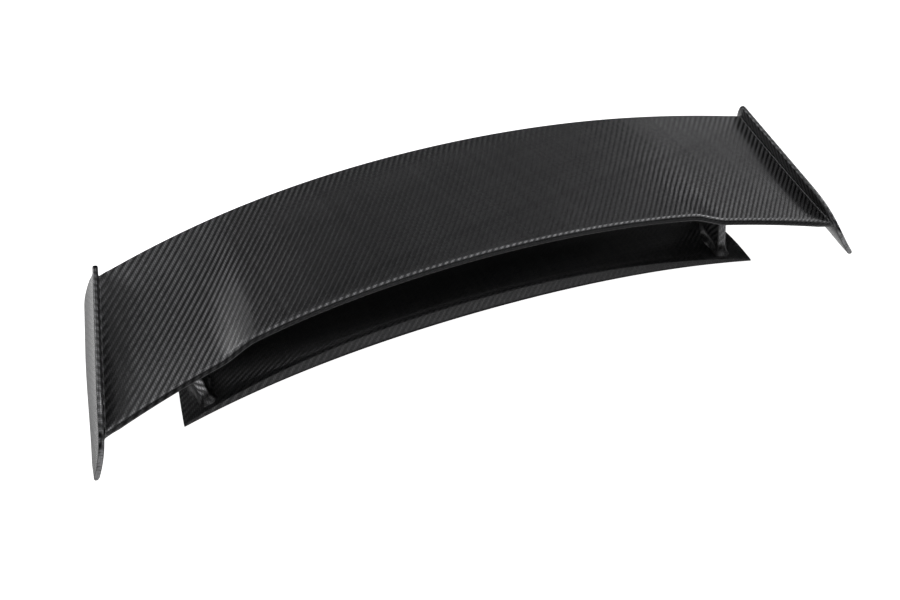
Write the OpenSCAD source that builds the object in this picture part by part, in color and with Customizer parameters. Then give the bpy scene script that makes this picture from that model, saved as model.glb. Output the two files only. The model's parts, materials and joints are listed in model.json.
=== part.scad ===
// Carbon rear wing: a raised-centre blade on two uprights over a deck base, with canted endplates.
// Frame: origin at the centre of the mounting pattern on the base's flat underside.
// +X is the car's left, +Y is rearward and +Z is up. Millimetres.

/* [Blade] */
// Half of the blade's nominal span
blade_half_span = 650; // [640:1:660]
// How far the trailing edge's middle lies behind the mounting centre
te_centre_y = 195; // [185:1:205]
// How far the trailing edge's end corners lie behind the mounting centre
te_tip_y = 11; // [6:1:16]
// How much fuller than a parabola the trailing edge's curve is
te_fullness = 47; // [41:1:51]
// Height of the trailing edge's end corners
te_tip_z = 238; // [234:1:246]
// Rise of the trailing edge from its corners to its middle
te_arch = 19; // [10:1:25]
// Place of the leading edge's nose centre in the middle of the span
nose_centre_y = -171; // [-176:1:-166]
// Place of the leading edge's nose centre at the span's ends
nose_tip_y = -269; // [-274:1:-264]
// How much fuller than a parabola the leading edge's curve is
nose_fullness = 52; // [46:1:58]
// Height of the nose centre in the middle of the span
nose_centre_z = 189; // [186:1:194]
// How far the centre section's nose would fall by the span's ends
nose_centre_fall = 64; // [58:1:70]
// Height of the nose centre at the span's ends
nose_tip_z = 116; // [113:1:121]
// How far the outer section's nose would rise from the span's ends to the middle
nose_outer_rise = 97; // [91:1:101]
// Distance from the middle at which the leading edge's ramp starts
ramp_start = 400; // [390:1:410]
// Spanwise width of the ramp between the centre section and an outer section
ramp_w = 68; // [50:1:80]
// Radius of the rounded nose
nose_r = 7.8; // [7:0.2:9]
// How quickly the section thickens behind its nose
belly = 22; // [18:1:26]
// Half of the trailing edge's thickness
te_half = 1.5; // [1.2:0.1:2]
// Sag of the section's middle below its chord, as a part of the chord
camber = 0.035; // [0.02:0.005:0.045]
// How far the ramp moves inboard from the leading to the trailing edge
ramp_shift = 20; // [0:5:40]
// How much wider the ramp gets towards the trailing edge
ramp_spread = 60; // [20:10:100]

/* [Laminates] */
// Thickness of the blade's and the base's carbon skins
skin_t = 2; // [1.5:0.1:2.4]
// Bond line between neighbouring pieces
bond = 0.1; // [0.05:0.05:0.2]

/* [Endplates] */
// Thickness of an endplate
plate_t = 8.3; // [7.8:0.1:9]
// Length of an endplate along the tip chord
plate_l = 362; // [356:1:368]
// Height of an endplate's top edge above the tip chord
plate_rise = 28.5; // [27:0.5:31]
// Depth of an endplate's bottom edge below the tip chord
plate_depth = 64; // [61:1:67]
// Sideways lean of an endplate at the chord, as a slope
plate_cant = 0.51; // [0.46:0.01:0.54]
// Growth of that lean for each millimetre below the chord
plate_flare = 0.0072; // [0.006:0.0002:0.0084]

/* [Uprights] */
// Sideways place of an upright's front inboard corner
upright_x = 526; // [522:1:530]
// Lengthwise place of an upright's front inboard corner
upright_y = -128.5; // [-132:0.5:-124]
// Length of an upright at its foot
upright_l = 150; // [146:1:156]
// Width of an upright's blunt front
upright_w = 17; // [15:0.5:19]
// Width of an upright at its widest
upright_max_w = 26; // [24:0.5:28]
// How far an upright turns outward towards its tail, in degrees
upright_toe = 17; // [15:0.5:19]
// Rearward lean of an upright for each millimetre of height
upright_rake = 0.24; // [0.2:0.01:0.28]

/* [Base] */
// Half of the base's width at its front corners
base_half_w = 578; // [575:1:581]
// Place of the base's front edge in the middle
base_front_centre_y = -81.5; // [-86:0.5:-78]
// Place of the base's front corners
base_front_tip_y = -168.5; // [-172:0.5:-165]
// Length of the base from front to rear
base_chord = 217; // [208:1:224]
// Height of the bevelled front lip in the middle
lip_h = 20; // [16:1:24]
// Height of the front lip at the corners
lip_tip_h = 2.7; // [2.5:0.1:4]
// Rise of the base's top above a straight line, in the middle
crown_h = 9; // [7:1:12]
// The same rise at the base's ends
crown_tip_h = 11; // [10:1:13]
// Height of the rear edge
base_rear_h = 6; // [5:0.5:8]

/* [Mounting] */
// Spacing of the four outer inserts across the car
insert_spacing_x = 800; // [780:10:820]
// Spacing of the four outer inserts along the car
insert_spacing_y = 80; // [70:5:90]
// Spacing of the two inner inserts across the car
inner_spacing_x = 300; // [280:10:320]
// Radius of the inserts' threaded bores, for M6
insert_bore_r = 2.5; // [2.4:0.05:2.6]

/* [Hidden] */

carbon = [0.13, 0.13, 0.14];
foam = [0.86, 0.78, 0.55];
ply = [0.72, 0.56, 0.36];
alloy = [0.72, 0.73, 0.75];
steel = [0.45, 0.46, 0.48];
brass_tone = [0.78, 0.62, 0.3];
rubber_tone = [0.08, 0.08, 0.08];
$fn = 48;

// Blade layout: chord fractions and spanwise stations
nose_core_t = 0.16;
nose_core_end_x = 640;
spar_t = [0.27, 0.36];
core_end_t = 0.94;
hardpoint_x = [534, 592];
end_rib_x = 622;
t_gap = 0.001;

// Fasteners
tie_bolt_a = [52, 108];   // how far behind an upright's front each tie bolt stands
tie_bolt_r = 3;
tie_thread_r = 2.48;
tie_thread_l = 9;
tie_head = [5, 4];        // radius and height of the low head
washer = [6.4, 1.2];
counterbore = [7, 5.8];
spacer_r = 6;
dowel_r = 4;
dowel_x = [624, 660];
dowel_t = [0.36, 0.56];
set_screw = [2.1, 5];
set_screw_x = 634;
screw_shank = [1.6, 8];
screw_head_r = 3.6;
screw_y = 66;             // floor panel screws stand this far either side of the centre
insert_body = [5, 11];
insert_flange = [8, 1.5];
seal = [13, 1];
fit_gap = 0.05;
press_gap = 0.02;         // radial gap of bonded and threaded pieces
bolt_clearance = 0.5;     // radial clearance of bolts in the skins
tube_clearance = 0.25;    // radial clearance of bolts in tubes, washers and hardpoints
hex_r = [1.4, 1.15, 2.3]; // hexagon sockets of the set screws, the panel screws and the tie bolts

// Uprights
foot_flare = 7;           // how far the foot spreads where it meets the base
flare_top = 0.14;         // part of the height that the spread takes
upright_nominal_h = 150;
corner_r = 5;
widest_a = 48;            // distance behind the front at which an upright is widest
tail_half_w = 3;

// Base
base_fullness = 18;
base_flare = 0.12;        // outward spread of the base's sides for each millimetre rearward
edge_h = 1.2;             // upright face at the bottom of the bevelled lip
setback = 16;             // inner wall of the shell's front rim behind the front edge
rim = 6;
floor_t = 2;
rib_half_w = 28;
panel_end_x = 529;
end_block_x = [532, 571.5];
cavity_end_x = 571.9;
inner_insert_x = inner_spacing_x / 2;
outer_insert_x = insert_spacing_x / 2;

// ---- shared maths ----

function clamp01(v) = max(0, min(1, v));
function ease(v) = let (c = clamp01(v)) c * c * (3 - 2 * c);
function mix(a, b, k) = a + (b - a) * k;
function steps(a, b, n) = [for (i = [0 : n]) a + (b - a) * i / n];
function reversed(list) = [for (i = [len(list) - 1 : -1 : 0]) list[i]];
function bowed(centre, tip, fullness, u) = mix(centre, tip, u) + fullness * u * (1 - u);
function unit(v) = v / norm(v);
function both_sides(list) = concat([for (i = [len(list) - 1 : -1 : 1]) -list[i]], list);
function between(list, a, b) = concat([a], [for (x = list) if (x > a + 4 && x < b - 4) x], [b]);

// A closed solid through rings. Each ring is an outer line of points and then, in the same
// order, the inner line that backs it, so every wall and both ends are ladders of triangles.
module ladder_loft(rings) {
    n = len(rings[0]);
    m = n / 2;
    last = len(rings) - 1;
    end = last * n;
    loop = concat([for (i = [0 : m - 1]) i], [for (i = [n - 1 : -1 : m]) i]);
    sides = [for (r = [0 : last - 1], i = [0 : n - 1])
        let (a = r * n + loop[i], b = r * n + loop[(i + 1) % n])
        each [[a, b, b + n], [a, b + n, a + n]]];
    caps = [for (i = [0 : m - 2])
        each [[i, i + m, i + m + 1], [i, i + m + 1, i + 1],
            [end + i, end + i + 1, end + i + m + 1], [end + i, end + i + m + 1, end + i + m]]];
    polyhedron(points = [for (r = rings) each r], faces = concat(sides, caps), convexity = 8);
}

module on_right() {
    mirror([1, 0, 0])
    children();
}

module on_both_sides() {
    children();
    on_right()
    children();
}

// ---- blade surface ----

function span_sq(x) = (x / blade_half_span) ^ 2;
function te_point(x) = let (u = span_sq(x))
    [bowed(te_centre_y, te_tip_y, te_fullness, u), te_tip_z + te_arch * (1 - u)];
function ramp(x, t) = ease((abs(x) - ramp_start + ramp_shift * t) / (ramp_w + ramp_spread * t));
function nose_point(x, t) = let (u = span_sq(x))
    [bowed(nose_centre_y, nose_tip_y, nose_fullness, u),
        mix(nose_centre_z - nose_centre_fall * u,
            nose_tip_z + nose_outer_rise * (1 - abs(x) / blade_half_span), ramp(x, t))];
function chord_dir(x) = unit(te_point(x) - nose_point(x, 0));
function chord_up(x) = let (e = chord_dir(x)) [-e[1], e[0]];
function half_thickness(t) = (1 - t) * (nose_r + belly * t) + te_half * t;
function sag(x, t) = -4 * camber * norm(te_point(x) - nose_point(x, 0)) * t * (1 - t);
function section_point(x, t, off) =
    mix(nose_point(x, t), te_point(x), t) + chord_up(x) * (sag(x, t) + off);
function upper_point(x, t, inset) = section_point(x, t, max(half_thickness(t) - inset, bond / 2));
function lower_point(x, t, inset) = section_point(x, t, -max(half_thickness(t) - inset, bond / 2));
// A point on the rounded nose: 90 degrees is its top, 180 its front and 270 its bottom
function nose_arc(x, a, inset) =
    nose_point(x, 0) + (nose_r - inset) * (cos(a) * chord_dir(x) + sin(a) * chord_up(x));

// Height of the blade's underside over a point, found by walking along the chord
function low_t(x, y, t, n) = n == 0 ? t
    : low_t(x, y, t - (lower_point(x, t, 0)[0] - y) / (te_point(x)[0] - nose_point(x, 0)[0]), n - 1);
function blade_low_z(x, y) = lower_point(x, low_t(x, y, 0.5, 6), 0)[1];

// The outermost station follows the endplate's leaning inner face
function placed(x, yz) =
    [abs(x) >= blade_half_span ? sign(x) * (plate_inner_x(yz) - fit_gap) : x, yz[0], yz[1]];
function blade_ring(x, upper, lower) = [for (p = concat(upper, lower)) placed(x, p)];

blade_stations = both_sides(concat(steps(0, 360, 8), steps(378, 486, 9), [530, 575, 615, blade_half_span]));
upper_ts = [1, 0.97, 0.92, 0.84, 0.74, 0.62, 0.5, 0.38, 0.27, 0.17, 0.09, 0.04];
nose_angles = [90, 112, 134, 156, 178, 200, 222, 244, 262];
lower_ts = [0.01, 0.05, 0.12, 0.22, 0.34, 0.47, 0.6, 0.73, 0.85, 0.93, 1];

function upper_line(x, inset) = concat([for (t = upper_ts) upper_point(x, t, inset)],
    [for (a = nose_angles) nose_arc(x, a, inset)]);

module blade_upper_skin() {
    color(carbon)
    ladder_loft([for (x = blade_stations) blade_ring(x, upper_line(x, 0), upper_line(x, skin_t))]);
}

module blade_lower_skin() {
    color(carbon)
    difference() {
        ladder_loft([for (x = blade_stations) blade_ring(x,
            [for (t = lower_ts) lower_point(x, t, 0)],
            [for (t = lower_ts) lower_point(x, t, skin_t)])]);
        on_both_sides() {
            tie_bolt_bores(tie_bolt_r + bolt_clearance, -10, 10);
            set_screw_bores(set_screw[0] + bolt_clearance, -30);
        }
    }
}

// Fills the space between the skins over the given stations and chord fractions
module blade_infill(stations, ts, angles = []) {
    inset = skin_t + bond;
    ladder_loft([for (x = stations) blade_ring(x,
        concat([for (t = ts) upper_point(x, t, inset)], [for (a = angles) nose_arc(x, a, inset)]),
        concat([for (t = ts) lower_point(x, t, inset)],
            [for (a = angles) nose_arc(x, 360 - a, inset)]))]);
}

full_span = between(blade_stations, -end_rib_x + bond, end_rib_x - bond);
centre_span = between(blade_stations, -hardpoint_x[0] + bond, hardpoint_x[0] - bond);
block_ts = [core_end_t, 0.82, 0.7, 0.58, 0.46, spar_t[1] + t_gap];

module blade_nose_core() {
    color(foam)
    blade_infill(between(blade_stations, -nose_core_end_x, nose_core_end_x),
        [nose_core_t, 0.1, 0.05, 0.01], [100, 125, 150, 168]);
}

module blade_front_core() {
    color(foam)
    blade_infill(full_span, [spar_t[0] - t_gap, nose_core_t + t_gap]);
}

module blade_spar() {
    color(carbon)
    blade_infill(full_span, [spar_t[1], spar_t[0]]);
}

module blade_rear_core() {
    color(foam)
    blade_infill(centre_span, block_ts);
}

module side_rear_core() {
    color(foam)
    blade_infill([hardpoint_x[1] + bond, end_rib_x - bond], block_ts);
}

module blade_hardpoint() {
    color(alloy)
    difference() {
        blade_infill([hardpoint_x[0], mix(hardpoint_x[0], hardpoint_x[1], 0.5), hardpoint_x[1]], block_ts);
        tie_bolt_bores(tie_thread_r + press_gap, -30, skin_t + tie_thread_l + 1);
    }
}

module end_rib() {
    color(alloy)
    difference() {
        blade_infill([end_rib_x, mix(end_rib_x, blade_half_span, 0.5), blade_half_span],
            concat(block_ts, [spar_t[0], nose_core_t + t_gap]));
        dowels(dowel_r + press_gap, 2);
        set_screw_bores(set_screw[0] + press_gap, -30);
    }
}

// ---- endplates ----

tip_te = te_point(blade_half_span);
tip_back = chord_dir(blade_half_span);
tip_up = chord_up(blade_half_span);
plate_corner_x = 651;     // inner face at the trailing edge's corner
plate_toe = -0.001;       // outward drift of an endplate for each millimetre forward
function lean(h) = plate_cant * h - plate_flare * h * h / 2;
function plate_inner_x(yz) =
    plate_corner_x - lean((yz - tip_te) * tip_up) + plate_toe * ((tip_te - yz) * tip_back);

// Top and bottom edges at s millimetres forward of the rear corner, as heights above the chord
function plate_top(s) = plate_rise - plate_round_drop(s, plate_corner_r)
    - nose_drop * max(0, (s - drop_start) / (plate_l - drop_start)) ^ drop_power;
function plate_round_drop(s, r) = s < r ? r - sqrt(max(0, r * r - (r - s) ^ 2)) : 0;
function plate_bottom(s) = -plate_depth + plate_round_drop(s, plate_heel_r)
    + bottom_rise * ease((s - rise_start) / (plate_l - rise_start));
function nose_close(s) = s > plate_l - plate_nose_l
    ? sqrt(max(0, 1 - ((s - plate_l + plate_nose_l) / plate_nose_l) ^ 2)) : 1;
function plate_mid(s) = (plate_top(s) + plate_bottom(s)) / 2;
function plate_half_h(s) = (plate_top(s) - plate_bottom(s)) / 2 * nose_close(s);

plate_corner_r = 9;
plate_nose_l = 32;
nose_drop = 64;
drop_start = 222;
drop_power = 3.2;
bottom_rise = 15.5;
rise_start = 134;
plate_heel_r = 43;        // round of the rear lower corner
plate_back = 4;           // how far an endplate reaches behind the trailing edge's corner
rear_slant = -0.36;       // how far the rear edge runs forward for each millimetre down
plate_r = plate_t / 2;
plate_s = concat([0.3, 2, 5, 9, 16], steps(30, plate_l - 36, 12),
    [for (k = [0.7, 0.45, 0.26, 0.12, 0.035, 0.005]) plate_l - plate_nose_l * k]);
plate_f = [0, 0.012, 0.035, 0.07, 0.15, 0.32, 0.5, 0.68, 0.85, 0.93, 0.965, 0.988, 1];

// Half of the plate's thickness, rounded towards its top, bottom, rear and nose
function edge_round(d) = let (c = clamp01(d / plate_r)) sqrt(max(0, 1 - (1 - c) ^ 2));
function plate_half_t(s, f) =
    let (h = 2 * plate_half_h(s))
    plate_r * max(0.1, min(edge_round(f * h), edge_round((1 - f) * h),
        edge_round(s), edge_round(plate_l - s)));

// A point at s along the plate and part f of the way down it, off from its middle surface
function plate_point(s, f, off) =
    let (h = plate_mid(s) + plate_half_h(s) * (1 - 2 * f),
        run = s - plate_back + rear_slant * (plate_rise - h) * (1 - s / plate_l),
        slope = plate_cant - plate_flare * h,
        out = unit([1, slope]),
        yz = tip_te - run * tip_back + h * tip_up + tip_up * out[1] * (plate_r + off))
    [plate_corner_x - lean(h) + plate_toe * run + out[0] * (plate_r + off), yz[0], yz[1]];

module plate_layer(side, inset_a, inset_b) {
    color(carbon)
    ladder_loft([for (s = plate_s) concat(
        [for (f = plate_f) plate_point(s, f, side * max(plate_half_t(s, f) - inset_a, bond * 2))],
        [for (f = plate_f) plate_point(s, f, side * max(plate_half_t(s, f) - inset_b, bond / 2))])]);
}

module endplate_outer_skin() {
    plate_layer(1, 0, skin_t);
}

module endplate_inner_skin() {
    difference() {
        plate_layer(-1, 0, skin_t);
        dowels(dowel_r + bond, 2);
    }
}

module endplate_core() {
    fs = [0.06, 0.15, 0.32, 0.5, 0.68, 0.85, 0.94];
    inset = skin_t + bond;
    color(foam)
    difference() {
        ladder_loft([for (s = concat([6, 16], steps(42, plate_l - 40, 6), [plate_l - 24]))
            concat([for (f = fs) plate_point(s, f, plate_half_t(s, f) - inset)],
                [for (f = fs) plate_point(s, f, inset - plate_half_t(s, f))])]);
        dowels(dowel_r + bond, 2);
    }
}

function dowel_place(t) = section_point(mix(end_rib_x, blade_half_span, 0.6), t, 0);

module dowels(r, extra) {
    for (t = dowel_t)
        translate([dowel_x[0] - extra, dowel_place(t)[0], dowel_place(t)[1]])
        rotate([0, 90, 0])
        cylinder(r = r, h = dowel_x[1] - dowel_x[0] + 2 * extra);
}

module set_screw_bores(r, from) {
    for (t = dowel_t)
        translate([set_screw_x, dowel_place(t)[0], dowel_place(t)[1] + from])
        cylinder(r = r, h = -from);
}

module endplate_dowels() {
    color(steel)
    on_both_sides()
    dowels(dowel_r, 0);
}

module endplate_set_screws() {
    color(steel)
    on_both_sides()
    for (t = dowel_t)
        translate([set_screw_x, dowel_place(t)[0], dowel_place(t)[1] - dowel_r - set_screw[1] - bond])
        difference() {
            cylinder(r = set_screw[0], h = set_screw[1]);
            translate([0, 0, -1])
            cylinder(r = hex_r[0], h = 3, $fn = 6);
        }
}

// ---- uprights ----

upright_dir = [sin(upright_toe), cos(upright_toe)];
upright_out = [cos(upright_toe), -sin(upright_toe)];
function upright_xy(a, b) = [upright_x, upright_y] + upright_out * (upright_w / 2 + b) + upright_dir * a;
function upright_half_w(a) =
    let (full_w = mix(upright_w, upright_max_w, ease((a - corner_r) / (widest_a - corner_r))))
    mix(full_w / 2, tail_half_w, ease((a - widest_a) / (upright_l - widest_a)));
function flare_at(k) = foot_flare * (1 - clamp01(k / flare_top)) ^ 2;

// A point of an upright at part k of its height: a behind its front and b from its middle
function upright_point(a, b, k) =
    let (xy = upright_xy(a + upright_rake * upright_nominal_h * k, b),
        low = base_z(xy[0], xy[1]) + fit_gap,
        high = blade_low_z(xy[0], xy[1]) - fit_gap)
    [xy[0], xy[1], mix(low, high, k)];

// Outline of one half, from the middle of the front, round the corner and back to the tail
corner_angles = [0, 30, 60, 90];
upright_outline = concat([[0, bond / 2], [0, 3]],
    [for (a = corner_angles) [corner_r * (1 - cos(a)), upright_w / 2 - corner_r * (1 - sin(a))]],
    [for (a = [22, 45, 70, 95, 120, upright_l - 3]) [a, upright_half_w(a)]],
    [[upright_l, bond / 2]]);
upright_levels = [0, 0.02, 0.05, 0.09, flare_top, 0.4, 0.7, 1];

module upright_half(side) {
    color(carbon)
    ladder_loft([for (k = upright_levels) concat(
        [for (p = upright_outline)
            let (spread = flare_at(k),
                front = p[0] < corner_r ? 1 - p[0] / corner_r : 0,
                wide = p[1] > 1 ? p[1] / upright_w * 2 : 0)
            upright_point(p[0] - spread * front, side * (p[1] + spread * wide), k)],
        [for (p = upright_outline)
            let (a = min(max(p[0], skin_t), upright_l - skin_t))
            upright_point(a, side * max(p[1] - skin_t, bond / 2), k)])]);
}

function upright_core_w(a) = upright_half_w(a) - (a < corner_r ? corner_r : skin_t + bond);

module upright_core() {
    stations = [skin_t + 1, 8, 22, 45, 70, 95, 120, upright_l - 8];
    color(foam)
    difference() {
        ladder_loft([for (k = [0, 0.35, 0.7, 1]) concat(
            [for (a = stations) upright_point(a, upright_core_w(a), k)],
            [for (a = stations) upright_point(a, -upright_core_w(a), k)])]);
        for (a = tie_bolt_a)
            translate([upright_xy(a, 0)[0], upright_xy(a, 0)[1], -1])
            cylinder(r = spacer_r + bond, h = 300);
    }
}

// Bores on the tie bolts' axes, from and to given heights relative to the blade's underside
module tie_bolt_bores(r, from, to) {
    for (a = tie_bolt_a) {
        p = upright_xy(a, 0);
        z = blade_low_z(p[0], p[1]);
        translate([p[0], p[1], z + from])
        cylinder(r = r, h = to - from);
    }
}

module upright_spacer_tubes() {
    color(alloy)
    on_both_sides()
    for (a = tie_bolt_a) {
        p = upright_xy(a, 0);
        low = max([for (y = [-spacer_r, 0, spacer_r]) base_z(p[0], p[1] + y)]) + fit_gap;
        high = blade_low_z(p[0], p[1] - spacer_r) - 4 * fit_gap;
        translate([p[0], p[1], low])
        difference() {
            cylinder(r = spacer_r, h = high - low);
            translate([0, 0, -1])
            cylinder(r = tie_bolt_r + tube_clearance, h = high - low + 2);
        }
    }
}

module upright_tie_bolts() {
    color(steel)
    on_both_sides()
    for (a = tie_bolt_a) {
        p = upright_xy(a, 0);
        thread_z = blade_low_z(p[0], p[1]) + skin_t / 2;
        head_z = counterbore[1] - washer[1] - tie_head[1];
        translate([p[0], p[1], 0]) {
            difference() {
                translate([0, 0, head_z])
                cylinder(r = tie_head[0], h = tie_head[1]);
                translate([0, 0, head_z - 1])
                cylinder(r = hex_r[2], h = 3, $fn = 6);
            }
            translate([0, 0, head_z + tie_head[1]])
            cylinder(r = tie_bolt_r, h = thread_z - head_z - tie_head[1]);
            translate([0, 0, thread_z])
            cylinder(r = tie_thread_r, h = tie_thread_l);
        }
    }
}

module tie_bolt_washers() {
    color(steel)
    on_both_sides()
    for (a = tie_bolt_a)
        translate([upright_xy(a, 0)[0], upright_xy(a, 0)[1], counterbore[1] - washer[1]])
        difference() {
            cylinder(r = washer[0], h = washer[1]);
            translate([0, 0, -1])
            cylinder(r = tie_bolt_r + tube_clearance, h = washer[1] + 2);
        }
}

// ---- base ----

function base_u(x) = (x / base_half_w) ^ 2;
function base_front_y(x) = bowed(base_front_centre_y, base_front_tip_y, base_fullness, base_u(x));
function lip(x) = mix(lip_h, lip_tip_h, base_u(x));
function crown(x) = mix(crown_h, crown_tip_h, base_u(x));
function base_top_z(x, w) = lip(x) + 4 * crown(x) * w * (1 - w) - (lip(x) - base_rear_h) * w;
function side_spread(y) = 1 + base_flare * (y - base_front_tip_y) / base_half_w;
function base_z(x, y) =
    let (x0 = x / side_spread(y))
    base_top_z(x0, (y - base_front_y(x0)) / base_chord);
// Height of the shell's inner surface d millimetres behind the front edge
function cavity_z(x, d) = min(base_top_z(x, d / base_chord) - skin_t,
    edge_h + d * (base_top_z(x, lip(x) / base_chord) - edge_h) / lip(x) - 1.6 * skin_t);
function base_place(x, d, z) =
    let (y = base_front_y(x) + d)
    [x * side_spread(y), y, z];

base_stations = both_sides(concat(steps(0, 520, 13), [548, cavity_end_x, cavity_end_x + 0.5, base_half_w]));
base_ws = [0.16, 0.26, 0.38, 0.5, 0.62, 0.74, 0.86, 0.95];

module base_upper_shell() {
    color(carbon)
    difference() {
        ladder_loft([for (x = base_stations)
            let (hollow = abs(x) <= cavity_end_x ? 1 : 0, back = base_chord - rim)
            concat(
                [base_place(x, 0, 0), base_place(x, 0, edge_h),
                    base_place(x, lip(x), base_top_z(x, lip(x) / base_chord))],
                [for (w = base_ws) base_place(x, w * base_chord, base_top_z(x, w))],
                [base_place(x, base_chord, base_rear_h), base_place(x, base_chord, 0)],
                [base_place(x, setback, 0),
                    base_place(x, setback, max(0.01, hollow * cavity_z(x, setback) / 2)),
                    base_place(x, setback + 0.5, max(0.02, hollow * cavity_z(x, setback + 0.5)))],
                [for (w = base_ws)
                    base_place(x, w * base_chord, max(0.02, hollow * cavity_z(x, w * base_chord)))],
                [base_place(x, back, max(0.02, hollow * cavity_z(x, back))), base_place(x, back, 0)])]);
        on_both_sides()
        base_bolt_bores(tie_bolt_r + bolt_clearance, -1, 40);
    }
}

// Fills the shell between two stations, down to a flat bottom at height low
module base_infill(xa, xb, low) {
    ds = concat([setback + 1], [for (w = base_ws) w * base_chord], [base_chord - rim - 0.5]);
    ladder_loft([for (x = steps(xa, xb, max(2, ceil((xb - xa) / 45)))) concat(
        [for (d = ds) base_place(x, d, cavity_z(x, d) - bond)],
        [for (d = ds) base_place(x, d, low)])]);
}

module base_bolt_bores(r, from, to) {
    for (a = tie_bolt_a)
        translate([upright_xy(a, 0)[0], upright_xy(a, 0)[1], from])
        cylinder(r = r, h = to - from);
}

core_low = floor_t + bond;

module base_core() {
    color(foam)
    base_infill(-inner_insert_x + rib_half_w + bond, inner_insert_x - rib_half_w - bond, core_low);
}

module side_base_core() {
    color(foam) {
        base_infill(inner_insert_x + rib_half_w + bond, outer_insert_x - rib_half_w - bond, core_low);
        base_infill(outer_insert_x + rib_half_w + bond, end_block_x[0] - bond, core_low);
    }
}

module base_rib(x, ys) {
    difference() {
        base_infill(x - rib_half_w, x + rib_half_w, core_low);
        for (y = ys)
            translate([x, y, -1])
            cylinder(r = insert_body[0] + press_gap, h = insert_body[1] + 1.2);
        for (y = [-screw_y, screw_y])
            translate([x, y, -1])
            cylinder(r = screw_shank[0] + fit_gap, h = screw_shank[1] + 1.5);
    }
}

outer_ys = [-insert_spacing_y / 2, insert_spacing_y / 2];

module base_inner_ribs() {
    color(ply)
    on_both_sides()
    base_rib(inner_insert_x, [0]);
}

module base_outer_ribs() {
    color(ply)
    on_both_sides()
    base_rib(outer_insert_x, outer_ys);
}

module base_hardpoint() {
    color(alloy)
    difference() {
        base_infill(end_block_x[0], end_block_x[1], 0);
        base_bolt_bores(tie_bolt_r + tube_clearance, -1, 40);
        base_bolt_bores(counterbore[0], -1, counterbore[1]);
    }
}

// Puts its children at each insert on one side of the car
module at_inserts() {
    translate([inner_insert_x, 0, 0])
    children();
    for (y = outer_ys)
        translate([outer_insert_x, y, 0])
        children();
}

module at_screws() {
    for (x = [inner_insert_x, outer_insert_x], y = [-screw_y, screw_y])
        translate([x, y, 0])
        children();
}

panel_xs = steps(-panel_end_x, panel_end_x, 26);
function panel_edge(x, d) = let (p = base_place(x, d, 0)) [p[0], p[1]];

module base_floor_panel() {
    color(carbon)
    difference() {
        linear_extrude(floor_t)
        polygon(concat([for (x = panel_xs) panel_edge(x, setback + 0.3)],
            [for (x = reversed(panel_xs)) panel_edge(x, base_chord - rim - 0.3)]));
        on_both_sides() {
            at_inserts() {
                translate([0, 0, -1])
                cylinder(r = insert_flange[0] + fit_gap, h = floor_t + 2);
                translate([0, 0, -1])
                cylinder(r = seal[0] + fit_gap, h = seal[1] + 1 + fit_gap);
            }
            at_screws() {
                translate([0, 0, -1])
                cylinder(r = screw_shank[0] + bolt_clearance, h = floor_t + 2);
                cylinder(r1 = screw_head_r + fit_gap, r2 = screw_shank[0] + bolt_clearance, h = floor_t);
            }
        }
    }
}

module threaded_inserts() {
    color(brass_tone)
    on_both_sides()
    at_inserts()
    difference() {
        union() {
            cylinder(r = insert_body[0], h = insert_body[1]);
            cylinder(r = insert_flange[0], h = insert_flange[1]);
        }
        translate([0, 0, -1])
        cylinder(r = insert_bore_r, h = insert_body[1] + 2);
    }
}

module insert_seals() {
    color(rubber_tone)
    on_both_sides()
    at_inserts()
    difference() {
        cylinder(r = seal[0], h = seal[1]);
        translate([0, 0, -1])
        cylinder(r = insert_flange[0] + 6 * fit_gap, h = seal[1] + 2);
    }
}

module floor_panel_screws() {
    color(steel)
    on_both_sides()
    at_screws()
    difference() {
        union() {
            cylinder(r1 = screw_head_r, r2 = screw_shank[0], h = floor_t);
            cylinder(r = screw_shank[0], h = screw_shank[1]);
        }
        translate([0, 0, -1])
        cylinder(r = hex_r[1], h = 2, $fn = 6);
    }
}

blade_upper_skin();
blade_lower_skin();
blade_nose_core();
blade_front_core();
blade_spar();
blade_rear_core();
side_rear_core();  // left_blade_rear_core
on_right() side_rear_core();  // right_blade_rear_core
blade_hardpoint();  // left_blade_hardpoint
on_right() blade_hardpoint();  // right_blade_hardpoint
end_rib();  // left_end_rib
on_right() end_rib();  // right_end_rib
endplate_outer_skin();  // left_endplate_outer_skin
endplate_inner_skin();  // left_endplate_inner_skin
endplate_core();  // left_endplate_core
on_right() endplate_outer_skin();  // right_endplate_outer_skin
on_right() endplate_inner_skin();  // right_endplate_inner_skin
on_right() endplate_core();  // right_endplate_core
endplate_dowels();
endplate_set_screws();
upright_half(-1);  // left_upright_inboard_shell
upright_half(1);  // left_upright_outboard_shell
upright_core();  // left_upright_core
on_right() upright_half(-1);  // right_upright_inboard_shell
on_right() upright_half(1);  // right_upright_outboard_shell
on_right() upright_core();  // right_upright_core
upright_spacer_tubes();
upright_tie_bolts();
tie_bolt_washers();
base_upper_shell();
base_floor_panel();
base_core();
side_base_core();  // left_base_core
on_right() side_base_core();  // right_base_core
base_inner_ribs();
base_outer_ribs();
base_hardpoint();  // left_base_hardpoint
on_right() base_hardpoint();  // right_base_hardpoint
threaded_inserts();
insert_seals();
floor_panel_screws();
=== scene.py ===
"""Looks of the carbon rear wing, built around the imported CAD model.

Sizes are millimetres until a mesh is made, and metres in the materials and on the stage.
"""
import json
import math

import bmesh
import bpy
from mathutils import Matrix, Vector


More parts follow.
